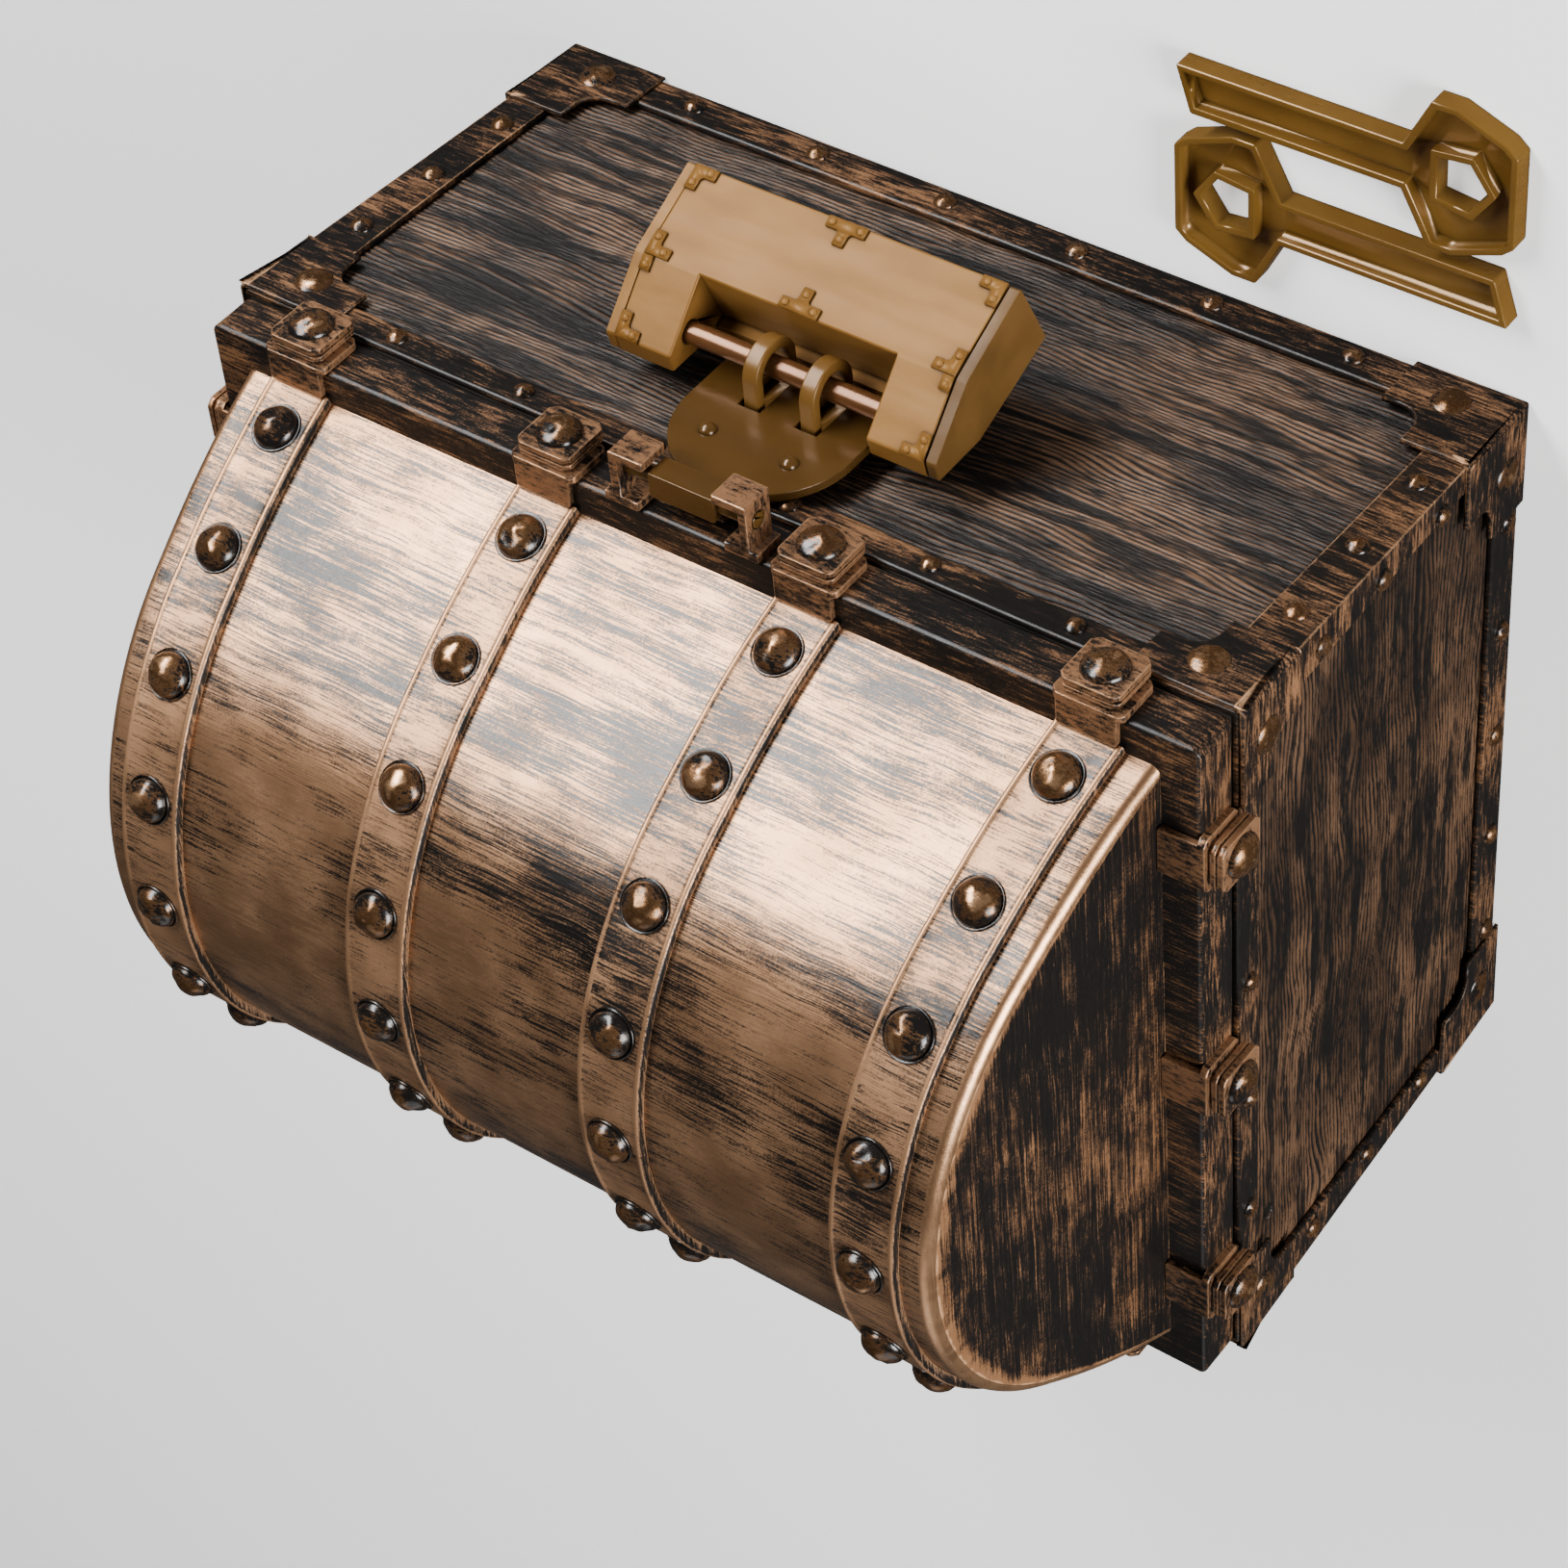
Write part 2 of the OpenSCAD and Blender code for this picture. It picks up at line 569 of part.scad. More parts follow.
// A stem and two leaves that fold back from its tip, shown squeezed as a key holds them
module bolt_spring_leaves() color(brass) translate([-half_lock - cap_gap, key_slot_at[0], key_slot_at[1]]) {
    translate([0, -stem_t / 2, -stem_h / 2]) cube([leaf_tip, stem_t, stem_h]);
    translate([leaf_tip - stem_t, -leaf_out, -leaf_spring_h / 2]) cube([stem_t, 2 * leaf_out, leaf_spring_h]);
    for (s = [-1, 1]) translate([leaf_back, s * leaf_out - leaf_spring_t / 2, -leaf_spring_h / 2])
        cube([leaf_tip - leaf_back, leaf_spring_t, leaf_spring_h]);
}

// ---- keys ----
key_points = [[2.6, -key_w / 2], [key_shaft, -key_w / 2], [key_shaft + 5, -head_w / 2],
    [key_shaft + 9.5, -head_w / 2], [key_shaft + 18.5, -10.6], [key_shaft + 20.5, -8.8],
    [key_shaft + 20.5, 8.8], [key_shaft + 18.5, 10.6], [key_shaft + 9.5, head_w / 2],
    [key_shaft + 5, head_w / 2], [key_shaft, key_w / 2], [0, key_w / 2]];
eye_points = [[key_shaft + 6.4, -3.9], [key_shaft + 12.2, -4.6], [key_shaft + 15.4, 0],
    [key_shaft + 12.2, 4.6], [key_shaft + 6.4, 3.9]];
module key() color(brass) difference() {
    linear_extrude(key_t) polygon(key_points);
    translate([0, 0, key_floor]) linear_extrude(key_t) difference() {
        polygon(inset(key_points, key_wall));
        polygon(inset(eye_points, -key_wall));
    }
    translate([0, 0, -1]) linear_extrude(key_t + 2) polygon(eye_points);
}
module key_1() translate(key_1_at) key();
module key_2() translate(key_2_at) rotate([0, 0, 180]) key();

base_shell();
bottom_band();
top_band();
corner_posts();
bottom_corner_guards();
top_corner_guards();
band_rivets();
guard_rivets();
base_hinge_leaves();
hinge_pins();
lid_hinge_leaves();
lid_shell();
lid_rim();
strap_right_outer();
strap_right_inner();
strap_left_inner();
strap_left_outer();
strap_rivets();
front_clips();
rear_clips();
right_end_clips();
left_end_clips();
clip_rivets();
hasp_brackets();
hasp_plate();
hasp_rivets();
staple_loops();
padlock_case();
padlock_back_cover();
padlock_key_end();
padlock_mounts();
padlock_studs();
bolt_end_cap();
bolt_bar();
bolt_spring_leaves();
key_1();
key_2();
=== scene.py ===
"""Looks of a toy treasure chest: moulded wood-grain box, strapped dome lid, gold hasp, padlock and keys."""

import math

import bmesh
import bpy
import numpy as np
from mathutils import Matrix, Vector
from mathutils.bvhtree import BVHTree


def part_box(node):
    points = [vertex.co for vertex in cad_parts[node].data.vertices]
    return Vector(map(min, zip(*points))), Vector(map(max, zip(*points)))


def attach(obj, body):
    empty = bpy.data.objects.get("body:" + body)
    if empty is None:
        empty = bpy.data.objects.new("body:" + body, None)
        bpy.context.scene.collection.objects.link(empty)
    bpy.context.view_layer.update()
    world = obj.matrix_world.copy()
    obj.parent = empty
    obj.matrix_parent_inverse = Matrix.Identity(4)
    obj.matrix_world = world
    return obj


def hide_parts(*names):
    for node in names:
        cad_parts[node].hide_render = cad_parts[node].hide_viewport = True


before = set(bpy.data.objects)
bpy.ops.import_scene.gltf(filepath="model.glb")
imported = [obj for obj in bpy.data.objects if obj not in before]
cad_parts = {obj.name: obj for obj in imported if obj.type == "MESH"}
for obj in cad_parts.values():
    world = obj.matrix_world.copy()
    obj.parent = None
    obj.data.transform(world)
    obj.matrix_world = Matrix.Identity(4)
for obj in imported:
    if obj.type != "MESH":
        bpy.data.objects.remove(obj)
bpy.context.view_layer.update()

MM = 0.001

# ---------------------------------------------------------------- dimensions
# Driving sizes of the design, in metres; places come from the frame.
SIDE_LEAN = 5.1 * MM        # how far the front and back lean in at the bottom
END_LEAN = 1.9 * MM
BAND_T = 1.5 * MM           # how far the bands stand out from the panels
POST_W = 9.6 * MM
WALL = 2.4 * MM
DOME_W = 61 * MM            # half width of the dome's ellipse
FLARE = 8 * MM              # how far the dome's foot flares out
FLARE_H = 32 * MM
DOME_LEAN = 0.1             # the ends' lean per unit of height
STRAP_W = 12.5 * MM
STRAP_T = 1.8 * MM
WELD = 0.002 * MM           # CAD corners closer than this are one corner

SEAM_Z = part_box("base_shell")[1].z
HALF_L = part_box("top_band")[1].x
HALF_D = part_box("top_band")[1].y
BOTTOM_BAND_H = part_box("bottom_band")[1].z
TOP_BAND_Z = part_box("top_band")[0].z
RIM_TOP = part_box("lid_rim")[1].z
DOME_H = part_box("lid_shell")[1].z - RIM_TOP
DOME_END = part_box("lid_shell")[1].x


# ---------------------------------------------------------------- smooth seeded noise
class Noise:
    """Smooth lattice noise from 0 to 1, repeatable from its seed."""

    SIZE = 64

    def __init__(self, seed):
        self.table = np.random.default_rng(seed).random((self.SIZE, self.SIZE))

    def at(self, x, y):
        x, y = np.broadcast_arrays(np.asarray(x, float), np.asarray(y, float))
        xi, yi = np.floor(x).astype(int), np.floor(y).astype(int)
        fx, fy = x - xi, y - yi
        fx, fy = fx * fx * (3 - 2 * fx), fy * fy * (3 - 2 * fy)
        n, t = self.SIZE, self.table
        low = t[xi % n, yi % n] * (1 - fx) + t[(xi + 1) % n, yi % n] * fx
        high = t[xi % n, (yi + 1) % n] * (1 - fx) + t[(xi + 1) % n, (yi + 1) % n] * fx
        return low * (1 - fy) + high * fy

    def layered(self, x, y, octaves=3):
        total, weight, size = 0, 1, 0
        for i in range(octaves):
            total = total + weight * self.at(x * 2**i + 17.3 * i, y * 2**i + 9.1 * i)
            size += weight
            weight *= 0.5
        return total / size


def smoothstep(low, high, value):
    t = np.clip((value - low) / (high - low), 0, 1)
    return t * t * (3 - 2 * t)


# ---------------------------------------------------------------- materials
class Graph:
    """A short way to write a material's nodes."""

    def __init__(self, name):
        self.material = bpy.data.materials.new(name)
        self.material.use_nodes = True
        self.nodes = self.material.node_tree.nodes
        self.links = self.material.node_tree.links
        self.shader = self.nodes["Principled BSDF"]

    def add(self, kind, *inputs, out=0, **settings):
        """A node whose inputs are values or other nodes' sockets, in order; None leaves one alone."""
        node = self.nodes.new("ShaderNode" + kind)
        for key, value in settings.items():
            setattr(node, key, value)
        for socket, value in zip(node.inputs, inputs):
            self.put(socket, value)
        return node.outputs[out]

    def put(self, socket, value):
        if isinstance(value, bpy.types.NodeSocket):
            self.links.new(value, socket)
        elif value is not None:
            socket.default_value = value

    def set(self, **inputs):
        for key, value in inputs.items():
            self.put(self.shader.inputs[key.replace("_", " ")], value)

    def math(self, operation, a, b=0.0):
        return self.add("Math", a, b, operation=operation)

    def total(self, *parts):
        """The sum of sockets, each times its own share."""
        found = self.math("MULTIPLY", *parts[0])
        for part in parts[1:]:
            found = self.math("ADD", found, self.math("MULTIPLY", *part))
        return found

    def place(self, scale=(1, 1, 1)):
        """The piece's own coordinates, scaled."""
        return self.add("Mapping", self.add("TexCoord", out=3), None, None, scale)

    def noise(self, vector, scale=1.0, detail=3.0, rough=0.55):
        return self.add("TexNoise", vector, None, scale, detail, rough)

    def ramp(self, factor, low, high, to_low=0.0, to_high=1.0):
        return self.add("MapRange", factor, low, high, to_low, to_high, interpolation_type="SMOOTHSTEP")

    def mix(self, factor, a, b):
        node = self.nodes.new("ShaderNodeMix")
        node.data_type = "RGBA"
        for index, value in ((0, factor), (6, a), (7, b)):
            self.put(node.inputs[index], value)
        return node.outputs[2]

    def edges(self, radius, low=0.02, high=0.25):
        """1 on convex edges within radius, 0 on flats and in corners."""
        rounded = self.add("Bevel", radius, samples=6)
        flat = self.add("NewGeometry", out=1)
        same = self.add("VectorMath", rounded, flat, operation="DOT_PRODUCT", out=1)
        turned = self.ramp(self.math("SUBTRACT", 1.0, same), low, high)
        open_air = self.add("AmbientOcclusion", None, radius * 3, samples=6, only_local=True, out=1)
        return self.math("MULTIPLY", turned, self.ramp(open_air, 0.55, 0.8))

    def creases(self, reach):
        """1 in corners and beside raised work within reach, 0 on open faces: where shade is painted in."""
        open_air = self.add("AmbientOcclusion", None, reach, samples=6, only_local=False, out=1)
        return self.ramp(open_air, 0.92, 0.55)

    def bump(self, height, distance, strength=1.0, normal=None):
        node = self.nodes.new("ShaderNodeBump")
        inputs = {"Height": height, "Distance": distance, "Strength": strength, "Normal": normal}
        for key, value in inputs.items():
            self.put(node.inputs[key], value)
        return node.outputs[0]


BLACK = (0.0050, 0.0042, 0.0038, 1)
BRONZE_DARK = (0.080, 0.036, 0.015, 1)
BRONZE = (0.22, 0.105, 0.046, 1)
BRONZE_BRIGHT = (0.56, 0.31, 0.165, 1)
BRONZE_PALE = (0.66, 0.38, 0.20, 1)
BRONZE_RIVET = (0.19, 0.095, 0.041, 1)
BRONZE_CLIP = (0.34, 0.17, 0.082, 1)
WOOD_DARK = (0.042, 0.022, 0.012, 1)
WOOD_LIGHT = (0.128, 0.068, 0.036, 1)


def brushed_bronze(name, cover, edge=1.0, sheen=0.34, fine=3600, long=70, edge_width=0.5, bronze=BRONZE,
                   metal=0.3, shine=0.3):
    """Near-black plastic dry-brushed with bronze: along Y on faces that look along X, along X elsewhere.

    cover is how much bronze there is; fine and long are the strokes' scales across and along; edge is
    how far the paint is worn through on edges, over edge_width in mm.
    """
    g = Graph(name)
    facing = g.math("ABSOLUTE", g.add("SeparateXYZ", g.add("TexCoord", out=1)))
    across = g.math("GREATER_THAN", facing, 0.75)
    scale = g.add("CombineXYZ", g.add("MapRange", across, 0, 1, long, fine),
                  g.add("MapRange", across, 0, 1, fine, long), fine)
    bend = g.noise(g.place((60, 60, 60)), detail=1, rough=0.4)
    shift = g.add("VectorMath", g.add("CombineXYZ", bend, bend, bend), (0.0012,) * 3, operation="MULTIPLY")
    where = g.add("VectorMath", g.place(), shift, operation="ADD")
    stretched = g.add("VectorMath", where, scale, operation="MULTIPLY")
    strokes = g.noise(stretched, detail=5, rough=0.66)
    broad = g.noise(g.add("VectorMath", stretched, (0.2,) * 3, operation="MULTIPLY"), detail=3, rough=0.5)
    patches = g.noise(g.place((26, 40, 80)), detail=5, rough=0.68)
    specks = g.noise(g.place((2600, 2600, 2600)), detail=2, rough=0.6)
    worn = g.add("Attribute", attribute_name="wear", out=2)
    rubbed = g.math("MULTIPLY", g.edges(edge_width * MM), edge)
    rubbed = g.math("MULTIPLY", rubbed, g.ramp(g.noise(g.place((190, 190, 190))), 0.30, 0.62, 0.2, 1))
    paint = g.total((strokes, 1.35), (patches, 1.15), (broad, 0.35),
                    (g.math("SUBTRACT", specks, 0.5), 0.45), (worn, 0.6), (rubbed, 0.5))
    amount = g.ramp(paint, 1.60 - cover, 1.98 - cover)
    tone = g.mix(g.ramp(g.noise(g.place((70, 70, 70)), detail=2), 0.35, 0.7), BRONZE_DARK, bronze)
    tone = g.mix(g.math("MULTIPLY", amount, 0.7), tone, bronze)
    raised = g.math("MULTIPLY", g.ramp(worn, 0.8, 1.0), 0.6)
    pale = g.math("MAXIMUM", g.math("MULTIPLY", rubbed, 0.8), raised)
    tone = g.mix(pale, tone, BRONZE_PALE)
    g.set(Base_Color=g.mix(amount, BLACK, tone), Specular_IOR_Level=shine)
    g.set(Metallic=g.math("MULTIPLY", amount, metal))
    rough = g.add("MapRange", strokes, 0.3, 0.7, sheen - 0.04, sheen + 0.10)
    g.set(Roughness=g.math("ADD", rough, g.math("MULTIPLY", amount, 0.06)))
    grain = g.bump(strokes, 0.06 * MM, 0.6)
    g.set(Normal=g.bump(g.noise(g.place((620, 620, 620)), detail=2), 0.10 * MM, 0.35, grain))
    return g.material


def wood_grain(name):
    """Moulded wood grain: the ridge attribute says where the mesh stands up, and bronze catches there."""
    g = Graph(name)
    ridge = g.add("Attribute", attribute_name="ridge", out=2)
    patches = g.noise(g.place((26, 26, 55)), detail=3, rough=0.6)
    fine = g.noise(g.place((420, 420, 3400)), detail=4, rough=0.7)
    amount = g.ramp(g.total((ridge, 1.2), (patches, 0.7), (fine, 0.9)), 1.10, 1.80)
    tone = g.mix(g.ramp(patches, 0.38, 0.66), WOOD_DARK, WOOD_LIGHT)
    g.set(Base_Color=g.mix(amount, BLACK, tone), Specular_IOR_Level=0.3)
    g.set(Metallic=g.math("MULTIPLY", amount, 0.3))
    g.set(Roughness=g.ramp(fine, 0.3, 0.7, 0.28, 0.42))
    g.set(Normal=g.bump(fine, 0.22 * MM, 0.9))
    return g.material


def plain_dark(name):
    """The unpainted inside of the mouldings."""
    g = Graph(name)
    mottle = g.noise(g.place((90, 90, 90)), detail=4)
    g.set(Base_Color=g.mix(g.ramp(mottle, 0.3, 0.7), (0.010, 0.009, 0.008, 1), (0.022, 0.018, 0.015, 1)))
    g.set(Roughness=g.ramp(mottle, 0.3, 0.7, 0.4, 0.52))
    g.set(Normal=g.bump(g.noise(g.place((1400, 1400, 1400)), detail=2), 0.08 * MM, 0.5))
    return g.material


def gold_plastic(name, base, shade, sheen=0.34, metal=0.35, shine=0.5):
    """Solid-coloured satin moulded plastic, a little cloudy, with softly sunken walls, painted shade
    darkening its corners and creases, and a painted highlight lightening its convex edges.
    """
    g = Graph(name)
    cloud = g.noise(g.place((55, 90, 90)), detail=3, rough=0.5)
    flow = g.noise(g.place((30, 240, 240)), detail=2)
    tone = g.mix(g.ramp(cloud, 0.35, 0.68), base, shade)
    # Convex edges lightened towards a paler gold: a painted edge highlight.
    pale = g.math("MULTIPLY", g.edges(0.5 * MM), 0.35)
    tone = g.mix(pale, tone, tuple(min(1, c * 1.5) for c in base[:3]) + (1,))
    # Corners and creases darkened towards a dark gold from ambient occlusion: painted shade.
    painted_crease_shade = g.math("MULTIPLY", g.creases(0.9 * MM), 0.8)
    g.set(Base_Color=g.mix(painted_crease_shade, tone, tuple(c * 0.18 for c in base[:3]) + (1,)))
    g.set(Metallic=metal, Specular_IOR_Level=shine)
    g.set(Roughness=g.ramp(flow, 0.3, 0.7, sheen - 0.03, sheen + 0.06))
    sink = g.bump(cloud, 0.5 * MM, 0.35)
    g.set(Normal=g.bump(g.noise(g.place((1500, 1500, 1500)), detail=2), 0.03 * MM, 0.4, sink))
    return g.material


def wire(name):
    """Plain drawn steel wire for the hinge pins."""
    g = Graph(name)
    lines = g.noise(g.place((60, 2500, 2500)), detail=2)
    g.set(Base_Color=g.mix(lines, (0.28, 0.27, 0.26, 1), (0.5, 0.49, 0.47, 1)), Metallic=1.0)
    g.set(Roughness=g.ramp(lines, 0.3, 0.7, 0.25, 0.4))
    return g.material


LOOKS = {
    "wood": wood_grain("wood_grain"),
    "inside": plain_dark("dark_inside"),
    "lid": brushed_bronze("lid_bronze", 0.38, edge=0.5, sheen=0.23, bronze=BRONZE_BRIGHT, metal=0.92,
                          shine=0.5),
    "ends": brushed_bronze("end_bronze", 0.16, edge=0.5, long=40, shine=0.25),
    "trim": brushed_bronze("trim_bronze", 0.20, fine=2000, long=170, edge=1.2, edge_width=0.6),
    "strap": brushed_bronze("strap_bronze", 0.40, edge=0.8, fine=3000, long=140, bronze=BRONZE_BRIGHT,
                            metal=0.85, shine=0.5),
    "rivet": brushed_bronze("rivet_bronze", 0.10, edge=0.3, sheen=0.16, fine=2200, long=500,
                            bronze=BRONZE_RIVET, metal=0.9, shine=0.5),
    "clip": brushed_bronze("clip_bronze", 0.36, edge=1.3, sheen=0.28, fine=1300, long=420, edge_width=0.7,
                           bronze=BRONZE_CLIP, metal=0.7, shine=0.4),
    "gold": gold_plastic("gold_plastic", (0.185, 0.088, 0.021, 1), (0.150, 0.068, 0.014, 1),
                         sheen=0.38, metal=0.12, shine=0.12),
    "loop": gold_plastic("loop_gold_plastic", (0.130, 0.064, 0.015, 1), (0.100, 0.047, 0.010, 1),
                         sheen=0.30, metal=0.15, shine=0.25),
    "cap": gold_plastic("cap_gold_plastic", (0.090, 0.045, 0.012, 1), (0.066, 0.032, 0.008, 1),
                        sheen=0.36, metal=0.1, shine=0.15),
    "hasp": gold_plastic("hasp_gold_plastic", (0.078, 0.038, 0.009, 1), (0.060, 0.028, 0.006, 1),
                         sheen=0.20),
    "key": gold_plastic("key_plastic", (0.160, 0.082, 0.016, 1), (0.130, 0.064, 0.012, 1), sheen=0.22),
    "bolt": gold_plastic("bolt_bronze", (0.135, 0.056, 0.020, 1), (0.105, 0.042, 0.014, 1),
                         sheen=0.24, metal=0.5),
    "wire": wire("hinge_wire"),
}


# ---------------------------------------------------------------- mesh helpers
def make_piece(name, mesh, look, body, slot, *stands_for):
    """A finished piece: its mesh, material, body and the CAD nodes it stands for; slot is not used."""
    piece = bpy.data.objects.new(name, mesh)
    bpy.context.scene.collection.objects.link(piece)
    mesh.materials.append(LOOKS[look])
    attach(piece, body)
    if stands_for:
        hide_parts(*stands_for)


def mesh_of(name, verts, faces, **attributes):
    """A mesh of the corners that its faces use, with a value per corner for each attribute."""
    used = sorted({k for face in faces for k in face})
    place = dict(zip(used, range(len(used))))
    verts = [verts[k] for k in used]
    faces = [[place[k] for k in face] for face in faces]
    attributes = {key: np.asarray(values)[used] for key, values in attributes.items()}
    mesh = bpy.data.meshes.new(name)
    mesh.from_pydata([tuple(v) for v in verts], [], [tuple(f) for f in faces])
    mesh.polygons.foreach_set("use_smooth", [True] * len(mesh.polygons))
    for key, values in attributes.items():
        layer = mesh.attributes.new(key, "FLOAT", "POINT")
        layer.data.foreach_set("value", np.asarray(values, np.float32))
    mesh.update()
    return mesh


def face_out(mesh):
    """Turns every face of a closed mesh outward."""
    bm = bmesh.new()
    bm.from_mesh(mesh)
    bmesh.ops.recalc_face_normals(bm, faces=bm.faces)
    if bm.calc_volume(signed=True) < 0:
        bmesh.ops.reverse_faces(bm, faces=bm.faces)
    bm.to_mesh(mesh)
    bm.free()
    return mesh


def backed(mesh, inward):
    """Closes an open sheet with walls along its borders and a flat back."""
    bm = bmesh.new()
    bm.from_mesh(mesh)
    grown = bmesh.ops.extrude_edge_only(bm, edges=[e for e in bm.edges if e.is_boundary])["geom"]
    bmesh.ops.translate(bm, vec=inward, verts=[g for g in grown if isinstance(g, bmesh.types.BMVert)])
    rim = [g for g in grown if isinstance(g, bmesh.types.BMEdge) and g.is_boundary]
    bmesh.ops.triangle_fill(bm, edges=rim, use_beauty=True)
    bm.to_mesh(mesh)
    bm.free()
    return face_out(mesh)


def clean_copy(node):
    """A CAD node's mesh with its seams welded and its faces turned outward."""
    bm = bmesh.new()
    bm.from_mesh(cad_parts[node].data)
    bmesh.ops.remove_doubles(bm, verts=bm.verts, dist=WELD)
    bmesh.ops.dissolve_degenerate(bm, edges=bm.edges, dist=WELD)
    bmesh.ops.recalc_face_normals(bm, faces=bm.faces)
    return bm


def measures(mesh):
    """A mesh's volume, area and count of edges that are not shared by two faces."""
    bm = bmesh.new()
    bm.from_mesh(mesh)
    volume, area = bm.calc_volume(signed=True), sum(face.calc_area() for face in bm.faces)
    loose = sum(not edge.is_manifold for edge in bm.edges)
    bm.free()
    return volume, area, loose


# How much of a piece's volume and area rounding has to keep, and the most that it may seem to add
VOLUME_KEPT = (0.85, 1.0005)
AREA_KEPT = (0.80, 1.005)


def is_sound(rounded, plain, surface, width):
    """Whether rounding kept a piece closed, about as large, and within its width of the plain surface."""
    volume, area, loose = measures(rounded)
    plain_volume, plain_area, plain_loose = measures(plain)
    near = all(surface.find_nearest(v.co)[3] <= width for v in rounded.vertices)
    return (near and loose <= plain_loose
            and VOLUME_KEPT[0] < volume / plain_volume < VOLUME_KEPT[1]
            and AREA_KEPT[0] < area / plain_area < AREA_KEPT[1])


CORNER_REACH = 1.0 * MM     # an edge this near the chest's outside counts as on it
FOOT_REACH = 0.01 * MM      # and this near the floor, as on its lower outline


def outer_corner(middle):
    """Whether an edge's middle is on an upright corner of the box or rim, or on the box's lower outline."""
    x, y, z = abs(middle.x), abs(middle.y), middle.z
    lean = max(0, 1 - z / SEAM_Z)
    near_end = HALF_L - END_LEAN * lean - x < CORNER_REACH
    near_front = HALF_D - SIDE_LEAN * lean - y < CORNER_REACH
    return (near_end and near_front) or ((near_end or near_front) and z < FOOT_REACH)


def proud(point):
    """How far a point stands out from the box's nearer leaning side."""
    lean = 1 - point.z / SEAM_Z
    return max(abs(point.y) - HALF_D + SIDE_LEAN * lean, abs(point.x) - HALF_L + END_LEAN * lean)


ROUND_SHARES = (1, 0.8, 0.65, 0.5, 0.4, 0.3, 0.2, 0.12)    # of the wanted rounding, tried in turn


def rounded_mesh(mesh, width, segments):
    """A mesh with its weighted edges rounded and its flat faces shaded flat."""
    sharp = bpy.data.objects.new("sharp", mesh)
    bpy.context.scene.collection.objects.link(sharp)
    bevel = sharp.modifiers.new("round", "BEVEL")
    bevel.width, bevel.segments = width, segments
    bevel.limit_method = "WEIGHT"
    bevel.miter_outer = "MITER_ARC"
    bevel.use_clamp_overlap = False
    flats = sharp.modifiers.new("flat", "WEIGHTED_NORMAL")
    flats.mode, flats.weight, flats.keep_sharp = "FACE_AREA", 100, True
    rounded = bpy.data.meshes.new_from_object(sharp.evaluated_get(bpy.context.evaluated_depsgraph_get()))
    bpy.data.objects.remove(sharp)
    return rounded


def moulded(node, look, body, slot, radius, turn=28, segments=3, corner_radius=0, plate=0):
    """A CAD node with moulded, rounded edges; the object's own corners may be rounder than the rest.

    Only convex edges that turn by more than turn degrees are rounded, so a shown piece never grows into
    its neighbours. A thin plate on the box is rounded on its outside alone, above the height given as
    plate. Lengths are in mm. Where no rounding is sound the node's own shape is kept.
    """
    name = node + "_shown"
    radius, corner_radius, plate = radius * MM, corner_radius * MM, plate * MM
    bm = clean_copy(node)
    widest = max(radius, corner_radius)
    weight = bm.edges.layers.float.new("bevel_weight_edge")
    for edge in bm.edges:
        if edge.is_convex and edge.calc_face_angle(0) > math.radians(turn):
            middle = (edge.verts[0].co + edge.verts[1].co) / 2
            if plate and proud(middle) < plate:
                continue
            rounder = corner_radius and outer_corner(middle)
            edge[weight] = (corner_radius if rounder else radius) / widest
    mesh = bpy.data.meshes.new(name)
    surface = BVHTree.FromBMesh(bm)
    bm.to_mesh(mesh)
    bm.free()
    mesh.polygons.foreach_set("use_smooth", [True] * len(mesh.polygons))
    for share in ROUND_SHARES:
        rounded = rounded_mesh(mesh, widest * share, segments)
        if is_sound(rounded, mesh, surface, widest * share):
            break
        bpy.data.meshes.remove(rounded)
    else:
        rounded = mesh
    rounded.name = name
    rounded.materials.clear()
    make_piece(name, rounded, look, body, slot, node)


def islands(node):
    """Each separate solid of a CAD node as an array of its corners."""
    bm = bmesh.new()
    bm.from_mesh(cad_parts[node].data)
    bmesh.ops.remove_doubles(bm, verts=bm.verts, dist=WELD)
    left, found = set(bm.verts), []
    while left:
        todo, group = [left.pop()], []
        while todo:
            v = todo.pop()
            group.append(v.co[:])
            for e in v.link_edges:
                other = e.other_vert(v)
                if other in left:
                    left.remove(other)
                    todo.append(other)
        found.append(np.array(group))
    bm.free()
    return sorted(found, key=lambda g: tuple(np.round(g.mean(0), 5)))


RINGS, SPOKES = 9, 28       # faces of a rivet head from its top to its rim, and around it
HEAD_ROUND = 0.86           # share of a head's height that is round
GOLDEN_TURN = 2.399         # turns each head by itself, so that no two show the same dents
HAMMER_SIZE = 1.6           # dents across half a head
HAMMER_LEVEL = 0.62         # noise below this bites into the head
HAMMER_PLACE = 20           # where in the noise the heads lie
HAMMER_STEP = 3.7           # how far apart in the noise two heads lie


def head_profile(radius, rise, collar):
    """(radius, drop) from a head's top down to its foot, with a raised collar around it if it has one."""
    rim = radius - collar
    angles = [math.pi / 2 * i / RINGS for i in range(1, RINGS + 1)]
    profile = [(rim * math.sin(a), rise * (math.cos(a) - 1) * HEAD_ROUND) for a in angles]
    if collar:
        profile += [(rim + collar * 0.3, -rise * 0.93), (rim + collar * 0.6, -rise * 0.80),
                    (radius, -rise * HEAD_ROUND)]
    return profile + [(radius, -rise)]


